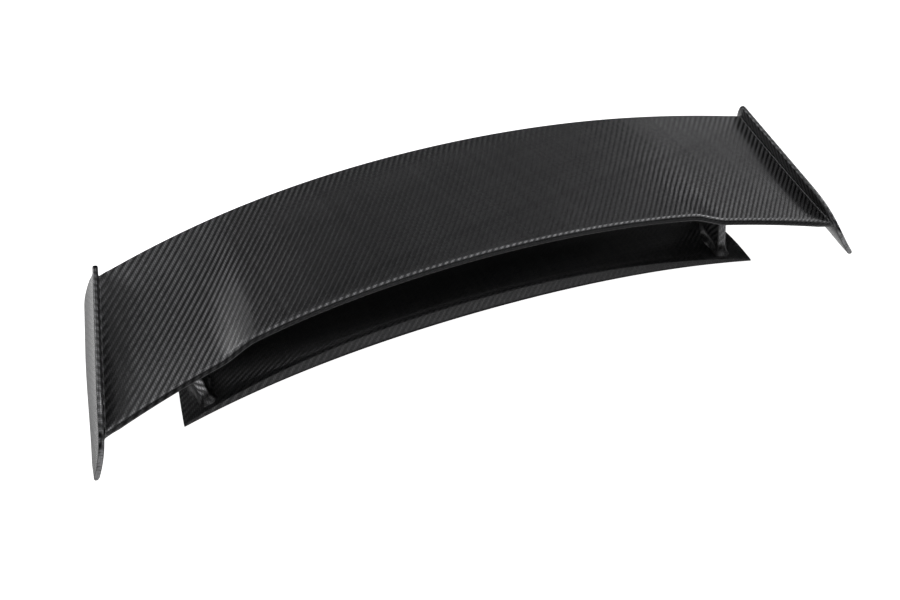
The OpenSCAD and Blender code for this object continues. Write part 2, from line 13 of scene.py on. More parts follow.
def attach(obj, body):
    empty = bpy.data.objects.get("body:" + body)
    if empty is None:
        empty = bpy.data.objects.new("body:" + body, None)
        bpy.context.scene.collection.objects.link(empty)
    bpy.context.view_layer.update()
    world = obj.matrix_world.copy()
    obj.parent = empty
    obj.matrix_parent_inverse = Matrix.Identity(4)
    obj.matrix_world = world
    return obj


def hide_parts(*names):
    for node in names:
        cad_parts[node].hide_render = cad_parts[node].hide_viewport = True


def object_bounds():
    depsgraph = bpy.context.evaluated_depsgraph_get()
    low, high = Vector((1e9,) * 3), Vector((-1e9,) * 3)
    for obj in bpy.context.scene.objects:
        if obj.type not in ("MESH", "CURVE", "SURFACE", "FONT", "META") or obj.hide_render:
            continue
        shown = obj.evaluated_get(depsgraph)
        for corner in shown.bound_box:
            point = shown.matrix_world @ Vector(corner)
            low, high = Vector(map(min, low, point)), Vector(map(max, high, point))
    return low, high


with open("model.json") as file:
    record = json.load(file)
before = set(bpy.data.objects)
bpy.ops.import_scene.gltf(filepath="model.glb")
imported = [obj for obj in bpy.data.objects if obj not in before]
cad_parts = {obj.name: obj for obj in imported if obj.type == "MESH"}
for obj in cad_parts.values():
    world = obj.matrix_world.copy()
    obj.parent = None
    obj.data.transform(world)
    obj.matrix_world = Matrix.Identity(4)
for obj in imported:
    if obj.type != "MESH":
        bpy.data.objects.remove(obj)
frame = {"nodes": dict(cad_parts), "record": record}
cad_low, cad_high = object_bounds()

MM = 0.001

# ---- driving dimensions, as in the CAD source ----

# Most of those that set the outline were fitted to the photo's outline by another program, and rounded

BLADE_HALF_SPAN = 650
TE_CENTRE_Y, TE_TIP_Y, TE_FULLNESS = 195, 11, 47
TE_TIP_Z, TE_ARCH = 238, 19
NOSE_CENTRE_Y, NOSE_TIP_Y, NOSE_FULLNESS = -171, -269, 52
NOSE_CENTRE_Z, NOSE_CENTRE_FALL = 189, 64
NOSE_TIP_Z, NOSE_OUTER_RISE = 116, 97
RAMP_START, RAMP_W, RAMP_SHIFT, RAMP_SPREAD = 400, 68, 20, 60
NOSE_R, BELLY, TE_HALF, CAMBER = 7.8, 22, 1.5, 0.035
SKIN_T, BOND, FIT_GAP = 2, 0.1, 0.05

PLATE_T, PLATE_L, PLATE_RISE, PLATE_DEPTH = 8.3, 362, 28.5, 64
PLATE_CANT, PLATE_FLARE = 0.51, 0.0072
PLATE_CORNER_X, PLATE_TOE, PLATE_BACK, REAR_SLANT = 651, -0.001, 4, -0.36
PLATE_CORNER_R, PLATE_HEEL_R, PLATE_NOSE_L = 9, 43, 32
NOSE_DROP, DROP_START, DROP_POWER = 64, 222, 3.2
BOTTOM_RISE, RISE_START = 15.5, 134

UPRIGHT_X, UPRIGHT_Y, UPRIGHT_L = 526, -128.5, 150
UPRIGHT_W, UPRIGHT_MAX_W, UPRIGHT_TOE, UPRIGHT_RAKE = 17, 26, 17, 0.24
UPRIGHT_NOMINAL_H, UPRIGHT_CORNER_R, WIDEST_A, TAIL_HALF_W = 150, 5, 48, 3
FOOT_FLARE, FLARE_TOP = 7, 0.14

BASE_HALF_W, BASE_FRONT_CENTRE_Y, BASE_FRONT_TIP_Y = 578, -81.5, -168.5
BASE_CHORD, BASE_FULLNESS, BASE_FLARE = 217, 18, 0.12
LIP_H, LIP_TIP_H, CROWN_H, CROWN_TIP_H, BASE_REAR_H = 20, 2.7, 9, 11, 6
EDGE_H, SETBACK, RIM = 1.2, 16, 6


# ---- shared maths ----

def clamp01(v):
    return max(0.0, min(1.0, v))


def ease(v):
    c = clamp01(v)
    return c * c * (3 - 2 * c)


def mix(a, b, k):
    return a + (b - a) * k


def steps(a, b, n):
    return [mix(a, b, i / n) for i in range(n + 1)]


def bowed(centre, tip, fullness, u):
    return mix(centre, tip, u) + fullness * u * (1 - u)


# ---- blade surface ----

def te_point(x):
    u = (x / BLADE_HALF_SPAN) ** 2
    return Vector((bowed(TE_CENTRE_Y, TE_TIP_Y, TE_FULLNESS, u), TE_TIP_Z + TE_ARCH * (1 - u)))


def ramp(x, t):
    return ease((abs(x) - RAMP_START + RAMP_SHIFT * t) / (RAMP_W + RAMP_SPREAD * t))


def nose_point(x, t):
    u = (x / BLADE_HALF_SPAN) ** 2
    outer = NOSE_TIP_Z + NOSE_OUTER_RISE * (1 - abs(x) / BLADE_HALF_SPAN)
    return Vector((bowed(NOSE_CENTRE_Y, NOSE_TIP_Y, NOSE_FULLNESS, u),
                   mix(NOSE_CENTRE_Z - NOSE_CENTRE_FALL * u, outer, ramp(x, t))))


def chord_frame(x):
    chord = te_point(x) - nose_point(x, 0)
    back = chord.normalized()
    return back, Vector((-back.y, back.x)), chord.length


def half_thickness(t):
    return (1 - t) * (NOSE_R + BELLY * t) + TE_HALF * t


def section_point(x, t, off):
    _, up, length = chord_frame(x)
    return nose_point(x, t).lerp(te_point(x), t) + up * (off - 4 * CAMBER * length * t * (1 - t))


def upper_point(x, t, inset=0):
    return section_point(x, t, max(half_thickness(t) - inset, BOND / 2))


def lower_point(x, t, inset=0):
    return section_point(x, t, -max(half_thickness(t) - inset, BOND / 2))


def nose_arc(x, a, inset=0):
    back, up, _ = chord_frame(x)
    a = math.radians(a)
    return nose_point(x, 0) + (NOSE_R - inset) * (math.cos(a) * back + math.sin(a) * up)


def blade_low_z(x, y):
    t = 0.5
    for _ in range(6):
        t -= (lower_point(x, t).x - y) / (te_point(x).x - nose_point(x, 0).x)
    return lower_point(x, t).y


TIP_TE = te_point(BLADE_HALF_SPAN)
TIP_BACK, TIP_UP, _ = chord_frame(BLADE_HALF_SPAN)


def lean(h):
    return PLATE_CANT * h - PLATE_FLARE * h * h / 2


def plate_inner_x(yz):
    return PLATE_CORNER_X - lean((yz - TIP_TE).dot(TIP_UP)) + PLATE_TOE * (TIP_TE - yz).dot(TIP_BACK)


# ---- base surface ----

def base_u(x):
    return (x / BASE_HALF_W) ** 2


def base_front_y(x):
    return bowed(BASE_FRONT_CENTRE_Y, BASE_FRONT_TIP_Y, BASE_FULLNESS, base_u(x))


def lip(x):
    return mix(LIP_H, LIP_TIP_H, base_u(x))


def base_top_z(x, w):
    return lip(x) + 4 * mix(CROWN_H, CROWN_TIP_H, base_u(x)) * w * (1 - w) - (lip(x) - BASE_REAR_H) * w


def side_spread(y):
    return 1 + BASE_FLARE * (y - BASE_FRONT_TIP_Y) / BASE_HALF_W


def base_z(x, y):
    x0 = x / side_spread(y)
    return base_top_z(x0, (y - base_front_y(x0)) / BASE_CHORD)


# ---- mesh helpers ----

SHARP_ANGLE = math.radians(50)      # edges that bend more than this are shaded sharp


def grid_piece(name, outer, inner, uvs, cad_nodes):
    """A closed thin shell of gloss carbon, in place of cad_nodes.

    outer and inner are lists of rows of points in millimetres. uvs has the tow counts at each outer point.
    """
    rows, cols = len(outer), len(outer[0])
    bm = bmesh.new()
    layer = bm.loops.layers.uv.new("weave")
    sheets = [[[bm.verts.new(Vector(p) * MM) for p in row] for row in sheet] for sheet in (outer, inner)]

    def quad(corners):
        face = bm.faces.new([sheets[k][r][c] for k, r, c in corners])
        face.smooth = True
        for loop, (_, r, c) in zip(face.loops, corners):
            loop[layer].uv = uvs[r][c]

    for r in range(rows - 1):
        for c in range(cols - 1):
            quad([(0, r, c), (0, r, c + 1), (0, r + 1, c + 1), (0, r + 1, c)])
            quad([(1, r, c), (1, r + 1, c), (1, r + 1, c + 1), (1, r, c + 1)])
    rim = ([(0, c) for c in range(cols)] + [(r, cols - 1) for r in range(1, rows)]
           + [(rows - 1, c) for c in range(cols - 2, -1, -1)] + [(r, 0) for r in range(rows - 2, 0, -1)])
    for (r0, c0), (r1, c1) in zip(rim, rim[1:] + rim[:1]):
        quad([(0, r1, c1), (0, r0, c0), (1, r0, c0), (1, r1, c1)])
    bmesh.ops.recalc_face_normals(bm, faces=bm.faces)
    for edge in bm.edges:
        if len(edge.link_faces) == 2 and edge.calc_face_angle() > SHARP_ANGLE:
            edge.smooth = False
    mesh = bpy.data.meshes.new(name)
    bm.to_mesh(mesh)
    bm.free()
    piece = bpy.data.objects.new(name, mesh)
    bpy.context.collection.objects.link(piece)
    piece.data.materials.append(FINISHES["gloss_carbon"])
    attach(piece, "root")
    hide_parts(*cad_nodes)


def run_lengths(line):
    """Distance along a line of points, at each point."""
    total = [0.0]
    for a, b in zip(line, line[1:]):
        total.append(total[-1] + (Vector(b) - Vector(a)).length)
    return total


def mirrored(rows):
    return [[(-p[0], p[1], p[2]) for p in row] for row in rows]


# ---- materials ----

NOISE_DETAIL = 3.0
TOW_W = 3.4         # width of a carbon tow
TOW_SPREAD = 0.3    # how much lighter some tows are than others, and some patches of cloth than others
TWILL_REPEAT = 4    # tows after which the pattern repeats
TOW_ID_SHIFT = 900  # keeps the random numbers of the two directions of tows apart
BULGE_PART = 0.15   # a tow's rise across its width, next to its rise along its length
RIDGE_PART = 0.5    # how far the tows along b stand proud as ridges along the twill line
BLUE_TINT = 1.03

# The gloss carbon's contrasts and lifts were chosen zone by zone, to come near the one photo
# Painted highlight and shade: the contrasts below make the cloth's own twill lines lighter or darker, zone by
# zone
LEFT_CONTRAST, RIGHT_CONTRAST = 0.32, 0.55  # how much the twill lines stand out outboard of the blade's ramps
BASE_CONTRAST = 0.2     # the same on the base's right end
REAR_CONTRAST = 0.45    # the same in a strip along the blade's trailing edge
NOSE_CONTRAST = 0.6     # the same on top of the nose, where the tows begin to bend round it
# Painted highlight: the tows on top of the nose are made lighter
NOSE_PAINTED_HIGHLIGHT = 0.8         # how much lighter all tows are there
# Painted light: the tows on the uprights' fronts are made lighter
STRUT_PAINTED_LIGHT = 1.5        # how much lighter all tows are on the uprights' fronts
# Painted shade: the tows under the nose are darker
GLOSS_TOW, PAINTED_SHADE_TOW = 0.12, 0.04    # albedo of the tows, and of those under the nose
# Painted shade: the gaps between the tows are darker outboard, so the weave stands out there
MIDDLE_GAP, END_GAP = 0.075, 0.03   # albedo between the tows
BASE_RELIEF, RELIEF = 0.00006, 0.00015
COAT, ENDPLATE_COAT = 0.5, 1.0      # weight of the clear coat

# Where these zones begin and end, in metres: from the middle of the car, or in height
OUTBOARD = 0.30, 0.46
ENDPLATE = 0.652, 0.660
ABOVE_BASE = 0.028, 0.036
NOSE_HEIGHT = 0.105, 0.112
REAR_STRIP = 0.245, 0.253       # in height, with the trailing edge's arch evened out
REAR_STRIP_SIDE = 0.35, 0.15    # the strip fades out towards the car's left

# The same in the way that the surface faces, as a part of its normal
FRONT_BELOW = -0.80, -0.92
FRONT_BEND, UP_BEND = (-0.30, -0.42), (0.40, 0.60)
STRUT_FRONT = -0.6, -0.9


class Nodes:
    """Short names for building a node tree."""

    def __init__(self, name):
        self.material = bpy.data.materials.new(name)
        self.material.use_nodes = True
        self.tree = self.material.node_tree
        self.shader = self.tree.nodes["Principled BSDF"]

    def add(self, kind, inputs=None, **settings):
        node = self.tree.nodes.new(kind)
        for key, value in settings.items():
            setattr(node, key, value)
        for key, value in (inputs or {}).items():
            self.set(node.inputs[key], value)
        return node

    def set(self, socket, value):
        if isinstance(value, bpy.types.NodeSocket):
            self.tree.links.new(value, socket)
        else:
            socket.default_value = value

    def math(self, operation, a, b=0.0, c=0.0):
        return self.add("ShaderNodeMath", {0: a, 1: b, 2: c}, operation=operation).outputs[0]

    def blend(self, factor, a, b):
        node = self.add("ShaderNodeMix", {0: factor}, data_type="RGBA")
        self.set(node.inputs[6], a)
        self.set(node.inputs[7], b)
        return node.outputs[2]

    def choose(self, factor, a, b):
        """a where factor is 0, b where it is 1."""
        return self.add("ShaderNodeMix", {0: factor, 2: a, 3: b}, data_type="FLOAT").outputs[0]

    def rise(self, value, start, end):
        """0 where value is start, 1 where it is end, and clamped beyond."""
        inputs = {"Value": value, "From Min": start, "From Max": end}
        return self.add("ShaderNodeMapRange", inputs).outputs[0]

    def vary(self, chance, spread):
        """1 on average for a chance from 0 to 1, and half of spread more or less at its ends."""
        return self.math("MULTIPLY_ADD", chance, spread, 1.0 - spread / 2)

    def place(self):
        """Where a point is on its object, in metres."""
        return self.add("ShaderNodeTexCoord").outputs["Object"]

    def split(self, vector):
        """A vector's three parts."""
        return self.add("ShaderNodeSeparateXYZ", {0: vector}).outputs

    def noise(self, scale, vector=None):
        inputs = {"Vector": vector or self.place(), "Scale": scale, "Detail": NOISE_DETAIL}
        return self.add("ShaderNodeTexNoise", inputs).outputs["Fac"]

    def bump(self, relief, height):
        """A bumped normal, where relief is in metres."""
        inputs = {"Strength": 1.0, "Distance": relief, "Height": height}
        return self.add("ShaderNodeBump", inputs).outputs[0]

    def shade(self, **inputs):
        for key, value in inputs.items():
            self.set(self.shader.inputs[key.replace("_", " ")], value)
        return self.material


def twill(n, a, b):
    """Two-by-two twill over the tow counts a and b.

    Returns a mask of the tows along b that lie on top, the ridge along the twill line, the height along the
    tows with part of that ridge in it, the bulge across them, and a random number for each tow.
    """
    i = n.math("FLOOR", a)
    j = n.math("FLOOR", b)
    over = n.math("LESS_THAN", n.math("FLOORED_MODULO", n.math("SUBTRACT", i, j), TWILL_REPEAT), 1.5)

    def hump(along):
        """Each float rises from under its neighbour and dives again after two tows."""
        return n.math("SINE", n.math("MULTIPLY", along, math.pi / 2))

    def bulge(across):
        side = n.math("MULTIPLY_ADD", across, 2.0, -1.0)
        return n.math("SUBTRACT", 1.0, n.math("POWER", n.math("ABSOLUTE", side), 4.0))

    float_a = hump(n.math("SUBTRACT", n.math("SUBTRACT", a, j), 2.0))
    float_b = hump(n.math("ADD", n.math("SUBTRACT", b, i), 1.0))
    ridge = hump(n.math("ADD", n.math("SUBTRACT", a, b), 0.5))
    height = n.choose(RIDGE_PART, n.choose(over, float_a, float_b), ridge)
    bulges = n.choose(over, bulge(n.math("FRACT", b)), bulge(n.math("FRACT", a)))
    tow_id = n.choose(over, n.math("ADD", j, TOW_ID_SHIFT + 0.5), n.math("ADD", i, 0.5))
    chance = n.add("ShaderNodeTexWhiteNoise", {"W": tow_id}, noise_dimensions="1D").outputs["Value"]
    return over, ridge, height, bulges, chance


def weave_look(n, a, b, tow, gap, relief, contrast=0.0):
    """Colour, bumped normal and top-tow mask of twill.

    tow and gap are the albedo of the tows and between them. contrast is how much lighter the ridges are along
    the twill line, and darker the furrows between them, as painted highlight and shade. Below 0 it is the
    other way round.
    """
    over, ridge, height, bulges, chance = twill(n, a, b)
    tone = n.math("MULTIPLY", n.vary(chance, TOW_SPREAD), tow)
    # Painted highlight and shade along the twill lines, wherever contrast isn't 0
    lighter = n.math("MULTIPLY_ADD", ridge, contrast, 1.0)
    patches_and_painted_lines = n.math("MULTIPLY", n.vary(n.noise(9.0), TOW_SPREAD), lighter)
    level = n.choose(bulges, gap, n.math("MULTIPLY", tone, patches_and_painted_lines))
    blue = n.math("MULTIPLY", level, BLUE_TINT)
    colour = n.add("ShaderNodeCombineColor", {0: level, 1: level, 2: blue}).outputs[0]
    normal = n.bump(relief, n.math("MULTIPLY_ADD", bulges, BULGE_PART, height))
    return colour, normal, over


def gloss_zones(n):
    """Masks of the zones in which the gloss carbon looks different, by where a point is and how it faces.
    Most of them place painted highlight or painted shade.
    """
    x, _, z = n.split(n.place())
    _, facing_y, facing_z = n.split(n.add("ShaderNodeNewGeometry").outputs["Normal"])
    from_middle = n.math("ABSOLUTE", x)
    above_base = n.rise(z, *ABOVE_BASE)
    nose_height = n.rise(z, *NOSE_HEIGHT)
    bend = n.math("MULTIPLY", n.rise(facing_y, *FRONT_BEND), n.rise(facing_z, *UP_BEND))
    strut_height = n.math("SUBTRACT", above_base, nose_height)
    arch = TE_ARCH / (BLADE_HALF_SPAN ** 2 * MM)
    evened = n.math("MULTIPLY_ADD", n.math("MULTIPLY", x, x), arch, z)
    return {
        "above_base": above_base,
        "endplate": n.rise(from_middle, *ENDPLATE),
        "outboard": n.rise(from_middle, *OUTBOARD),
        "left": n.rise(x, *OUTBOARD),
        "right": n.rise(x, -OUTBOARD[0], -OUTBOARD[1]),
        "under_nose": n.math("MULTIPLY", nose_height, n.rise(facing_y, *FRONT_BELOW)),
        "nose_top": n.math("MULTIPLY", nose_height, bend),
        "strut_front": n.math("MULTIPLY", n.rise(facing_y, *STRUT_FRONT), strut_height),
        "rear_strip": n.math("MULTIPLY", n.rise(evened, *REAR_STRIP), n.rise(x, *REAR_STRIP_SIDE)),
    }


def gloss_contrast(n, zones):
    """Painted highlight and shade on the twill lines in each zone. On the left it is the other way round."""
    left = n.math("MULTIPLY", zones["left"], n.choose(zones["above_base"], 0.0, -LEFT_CONTRAST))
    on_right = n.choose(zones["above_base"], BASE_CONTRAST, RIGHT_CONTRAST)
    right = n.math("MULTIPLY", zones["right"], on_right)
    sides = n.choose(zones["endplate"], n.math("ADD", left, right), 0.0)
    blade = n.choose(zones["rear_strip"], sides, REAR_CONTRAST)
    return n.choose(zones["nose_top"], blade, NOSE_CONTRAST)


def gloss_carbon():
    """Clear-coated twill: each tow's highlight stretches across its fibres. Painted shade darkens the tows
    and takes off the coat under the nose, and darkens the gaps between tows outboard. Painted highlight
    lightens the tows on top of the nose and on the uprights' fronts, and the twill lines in some zones.
    """
    n = Nodes("gloss_carbon")
    zones = gloss_zones(n)
    # Painted shade under the nose: darker tows, and no clear coat, where the surface there faces down
    gloss = n.math("SUBTRACT", 1.0, zones["under_nose"])
    # Painted highlight: lighter tows on top of the nose and on the uprights' fronts
    strut_painted_light = n.math("MULTIPLY_ADD", zones["strut_front"], STRUT_PAINTED_LIGHT, 1.0)
    painted_tow_light = n.math("MULTIPLY_ADD", zones["nose_top"], NOSE_PAINTED_HIGHLIGHT, strut_painted_light)
    tow = n.math("MULTIPLY", n.choose(gloss, PAINTED_SHADE_TOW, GLOSS_TOW), painted_tow_light)
    # Painted shade: darker gaps between the tows outboard than in the middle
    gap = n.choose(zones["outboard"], MIDDLE_GAP, END_GAP)
    relief = n.choose(zones["above_base"], BASE_RELIEF, RELIEF)
    a, b, _ = n.split(n.add("ShaderNodeUVMap", uv_map="weave").outputs[0])
    colour, normal, over = weave_look(n, a, b, tow, gap, relief, gloss_contrast(n, zones))
    rough = n.math("MULTIPLY_ADD", n.noise(30.0), 0.04, 0.36)
    tangent = n.add("ShaderNodeTangent", direction_type="UV_MAP", uv_map="weave").outputs[0]
    coat = n.math("MULTIPLY", gloss, n.choose(zones["endplate"], COAT, ENDPLATE_COAT))
    return n.shade(Base_Color=colour, Metallic=1.0, Roughness=rough, Normal=normal, Anisotropic=1.0,
                   Anisotropic_Rotation=n.choose(over, 0.25, 0.0), Tangent=tangent,
                   Specular_Tint=(0.3, 0.3, 0.3, 1), Coat_Weight=coat, Coat_Roughness=0.14,
                   Coat_Normal=normal)


def raw_carbon():
    """Bare laminate whose cloth lies along the car's axes, as on the floor panel and the spar."""
    n = Nodes("raw_carbon")
    x, y, z = n.split(n.place())
    a = n.math("DIVIDE", x, TOW_W * MM)
    b = n.math("DIVIDE", n.math("ADD", y, z), TOW_W * MM)
    colour, normal, over = weave_look(n, a, b, tow=0.05, gap=0.008, relief=0.00012)
    colour = n.blend(n.math("MULTIPLY", over, 0.6), colour, (0.012, 0.012, 0.013, 1))
    rough = n.math("MULTIPLY_ADD", n.noise(60.0), 0.2, 0.4)
    return n.shade(Base_Color=colour, Roughness=rough, Normal=normal)


def core_foam():
    n = Nodes("core_foam")
    cells = n.add("ShaderNodeTexVoronoi", {"Vector": n.place(), "Scale": 900.0}).outputs["Distance"]
    colour = n.blend(n.noise(40.0), (0.62, 0.47, 0.20, 1), (0.76, 0.62, 0.34, 1))
    return n.shade(Base_Color=colour, Roughness=0.95, Normal=n.bump(0.0004, cells))


def plywood():
    """Birch veneers stacked upward, with grain along the car's width."""
    n = Nodes("plywood")
    place = n.place()
    stretched = n.add("ShaderNodeMapping", {"Vector": place, "Scale": (8.0, 260.0, 260.0)}).outputs[0]
    grain = n.noise(1.0, stretched)
    veneers_up = n.math("MULTIPLY", n.split(place)[2], 420.0)
    layers = n.math("GREATER_THAN", n.math("FRACT", veneers_up), 0.5)
    colour = n.blend(grain, (0.36, 0.21, 0.09, 1), (0.62, 0.43, 0.22, 1))
    colour = n.blend(n.math("MULTIPLY", layers, 0.4), colour, (0.22, 0.12, 0.05, 1))
    return n.shade(Base_Color=colour, Roughness=0.6, Normal=n.bump(0.0002, grain))


def metal(name, dark, light, roughness, stretch, relief):
    """Metal with fine marks that run along the car's width, or in no direction when stretch is 1."""
    n = Nodes(name)
    stretched = n.add("ShaderNodeMapping", {"Vector": n.place(), "Scale": (stretch, 1, 1)}).outputs[0]
    marks = n.noise(700.0, stretched)
    colour = n.blend(n.noise(60.0), dark, light)
    rough = n.math("MULTIPLY_ADD", marks, 0.25, roughness - 0.12)
    return n.shade(Base_Color=colour, Metallic=1.0, Roughness=rough, Normal=n.bump(relief, marks))


def seal_rubber():
    n = Nodes("seal_rubber")
    colour = n.blend(n.noise(120.0), (0.010, 0.010, 0.010, 1), (0.035, 0.034, 0.033, 1))
    rough = n.math("MULTIPLY_ADD", n.noise(200.0), 0.2, 0.7)
    return n.shade(Base_Color=colour, Roughness=rough, Normal=n.bump(0.0002, n.noise(1500.0)))


FINISHES = {
    "gloss_carbon": gloss_carbon(),
    "raw_carbon": raw_carbon(),
    "core_foam": core_foam(),
    "plywood": plywood(),
    "alloy": metal("alloy", dark=(0.30, 0.30, 0.31, 1), light=(0.42, 0.42, 0.43, 1),
                   roughness=0.45, stretch=0.05, relief=0.00003),
    "steel": metal("steel", dark=(0.40, 0.41, 0.43, 1), light=(0.58, 0.59, 0.60, 1),
                   roughness=0.42, stretch=1, relief=0.00005),
    "brass": metal("brass", dark=(0.62, 0.42, 0.14, 1), light=(0.80, 0.60, 0.26, 1),
                   roughness=0.35, stretch=1, relief=0.00003),
    "seal_rubber": seal_rubber(),
}


def finish_cad_nodes():
    slots = {part["node"]: part["material_slot"] for part in frame["record"]["subparts"]}
    for name, node in frame["nodes"].items():
        if not node.material_slots:
            node.data.materials.append(None)
        for slot in node.material_slots:
            slot.material = FINISHES[slots[name]]


# ---- blade pieces ----

COVE_R = 3              # fillet between the blade and an endplate
END_GAPS = [12, 8, 5, 3, 2.4, 1.8, 1.2, 0.7, 0.3, 0.08, 0]     # end stations, as distances from the endplate
EVEN_HALF_SPAN = 630    # the stations between them are evenly spaced
SPAN_STATIONS = ([(gap - BLADE_HALF_SPAN, gap) for gap in reversed(END_GAPS)]
                 + [(x, None) for x in steps(-EVEN_HALF_SPAN, EVEN_HALF_SPAN, 210)]
                 + [(BLADE_HALF_SPAN - gap, gap) for gap in END_GAPS])
UPPER_TS = steps(0.985, 0.30, 22) + steps(0.28, 0.02, 16)
NOSE_ANGLES = steps(90, 262, 24)
LOWER_TS = [0.01, 0.02, 0.035, 0.05, 0.08] + steps(0.12, 0.985, 28)
EDGE_ANGLES = steps(0, 90, 5)


def at_station(station, yz, out=None):
    """A blade point at a station. End stations follow the endplate's face, with a cove along the normal."""
    x, gap = station
    if gap is None:
        return x, yz.x, yz.y
    if out is not None and gap < COVE_R:
        yz = yz + out * COVE_R * (1 - math.sqrt(1 - (1 - gap / COVE_R) ** 2))
    return math.copysign(plate_inner_x(yz) - FIT_GAP - gap, x), yz.x, yz.y


def edge_point(x, angle, side):
    """A point on the rounded trailing edge: 0 degrees is its rearmost line, 90 its upper or lower tangent."""
    _, _, length = chord_frame(x)
    a = math.radians(angle)
    t = 1 - TE_HALF * (1 - math.cos(a)) / length
    return section_point(x, t, side * max(TE_HALF * math.sin(a), BOND / 2))


# The twill's lines were fitted by least squares to their directions in the photo, and rounded
TWILL_STEP_X = 12.0             # distance across the car between the twill's diagonal lines
TWILL_LEAN = 0.56, 0.17, 0.17   # x moved per millimetre of v: in the middle, by u and by u squared
TWILL_BOW = -0.0003             # how a line curves along v
TWILL_RUN = math.radians(56)    # mean direction of the diagonal lines on the blade


def blade_tows(x, v):
    """Tow counts at x across the car and v along the surface. The cloth fans out a little over the blade."""
    u = x / BLADE_HALF_SPAN
    lean_x = TWILL_LEAN[0] + TWILL_LEAN[1] * u + TWILL_LEAN[2] * u * u
    line = 2 * (x - lean_x * v - TWILL_BOW * (1 + u) * v * v) / TWILL_STEP_X
    along = (x * math.cos(TWILL_RUN) + v * math.sin(TWILL_RUN)) / (TOW_W * math.sqrt(2))
    return along + line, along - line


def flat_tows(u, v):
    return u / TOW_W, v / TOW_W


def nose_runs(row):
    """Distance along a section from its foremost point, positive over the top."""
    lengths = run_lengths(row)
    start = min(range(len(row)), key=lambda k: row[k][1])
    return [row[start][1] + lengths[start] - run for run in lengths]


def upper_row(station, inset=0):
    """From the trailing edge over the top and round the nose. Only the outer sheet has coves."""
    x = station[0]
    back, up, _ = chord_frame(x)
    out = None if inset else up
    edge = [upper_point(x, 1, inset) if inset else edge_point(x, a, 1) for a in EDGE_ANGLES]
    row = [at_station(station, yz, out) for yz in edge + [upper_point(x, t, inset) for t in UPPER_TS]]
    for angle in NOSE_ANGLES:
        a = math.radians(angle)
        out = None if inset else math.cos(a) * back + math.sin(a) * up
        row.append(at_station(station, nose_arc(x, angle, inset), out))
    return row


def lower_row(station, inset=0):
    """From behind the nose to the trailing edge, below."""
    x = station[0]
    _, up, _ = chord_frame(x)
    out = None if inset else -up
    edge = [lower_point(x, 1, inset) if inset else edge_point(x, a, -1) for a in reversed(EDGE_ANGLES)]
    return [at_station(station, yz, out) for yz in [lower_point(x, t, inset) for t in LOWER_TS] + edge]


def make_blade():
    outer = [upper_row(station) for station in SPAN_STATIONS]
    inner = [upper_row(station, SKIN_T) for station in SPAN_STATIONS]
    uvs = [[blade_tows(p[0], v) for p, v in zip(row, nose_runs(row))] for row in outer]
    grid_piece("blade_upper", outer, inner, uvs, ["blade_upper_skin"])
    outer = [lower_row(station) for station in SPAN_STATIONS]
    inner = [lower_row(station, SKIN_T) for station in SPAN_STATIONS]
    uvs = [[blade_tows(p[0], p[1]) for p in row] for row in outer]
    grid_piece("blade_lower", outer, inner, uvs, ["blade_lower_skin"])


# ---- endplates ----

PLATE_R = PLATE_T / 2
PLATE_EDGE_PART = 0.02  # what is left of the half thickness at the very edge
PLATE_MIN_OUT = 0.4     # least distance of an outer sheet from the plate's middle
PLATE_WEAVE_SHIFT = 0.6 # how far the weave is moved from the plate's top edge


def round_drop(s, r):
    return r - math.sqrt(max(0, r * r - (r - s) ** 2)) if s < r else 0


def plate_top(s):
    return PLATE_RISE - round_drop(s, PLATE_CORNER_R) \
        - NOSE_DROP * max(0, (s - DROP_START) / (PLATE_L - DROP_START)) ** DROP_POWER


def plate_bottom(s):
    return -PLATE_DEPTH + round_drop(s, PLATE_HEEL_R) \
        + BOTTOM_RISE * ease((s - RISE_START) / (PLATE_L - RISE_START))


def plate_half_h(s):
    past = (s - PLATE_L + PLATE_NOSE_L) / PLATE_NOSE_L
    close = math.sqrt(max(0, 1 - past * past)) if past > 0 else 1
    return (plate_top(s) - plate_bottom(s)) / 2 * close


def edge_round(d):
    c = clamp01(d / PLATE_R)
    return math.sqrt(max(0, 1 - (1 - c) ** 2))


def plate_half_t(s, f):
    h = 2 * plate_half_h(s)
    nearest = min(edge_round(f * h), edge_round((1 - f) * h), edge_round(s), edge_round(PLATE_L - s))
    return PLATE_R * max(PLATE_EDGE_PART, nearest)


def plate_point(s, f, off):
    h = (plate_top(s) + plate_bottom(s)) / 2 + plate_half_h(s) * (1 - 2 * f)
    run = s - PLATE_BACK + REAR_SLANT * (PLATE_RISE - h) * (1 - s / PLATE_L)
    out = Vector((1, PLATE_CANT - PLATE_FLARE * h)).normalized() * (PLATE_R + off)
    yz = TIP_TE - run * TIP_BACK + (h + out.y) * TIP_UP
    return PLATE_CORNER_X - lean(h) + PLATE_TOE * run + out.x, yz.x, yz.y


def round_run(n, length, edge):
    """Positions 0 to length, close together over the rounded edge at both ends."""
    bend = [edge * (1 - math.cos(math.radians(a))) for a in steps(4, 90, 10)]
    return bend + steps(edge, length - edge, n)[1:-1] + [length - b for b in reversed(bend)]


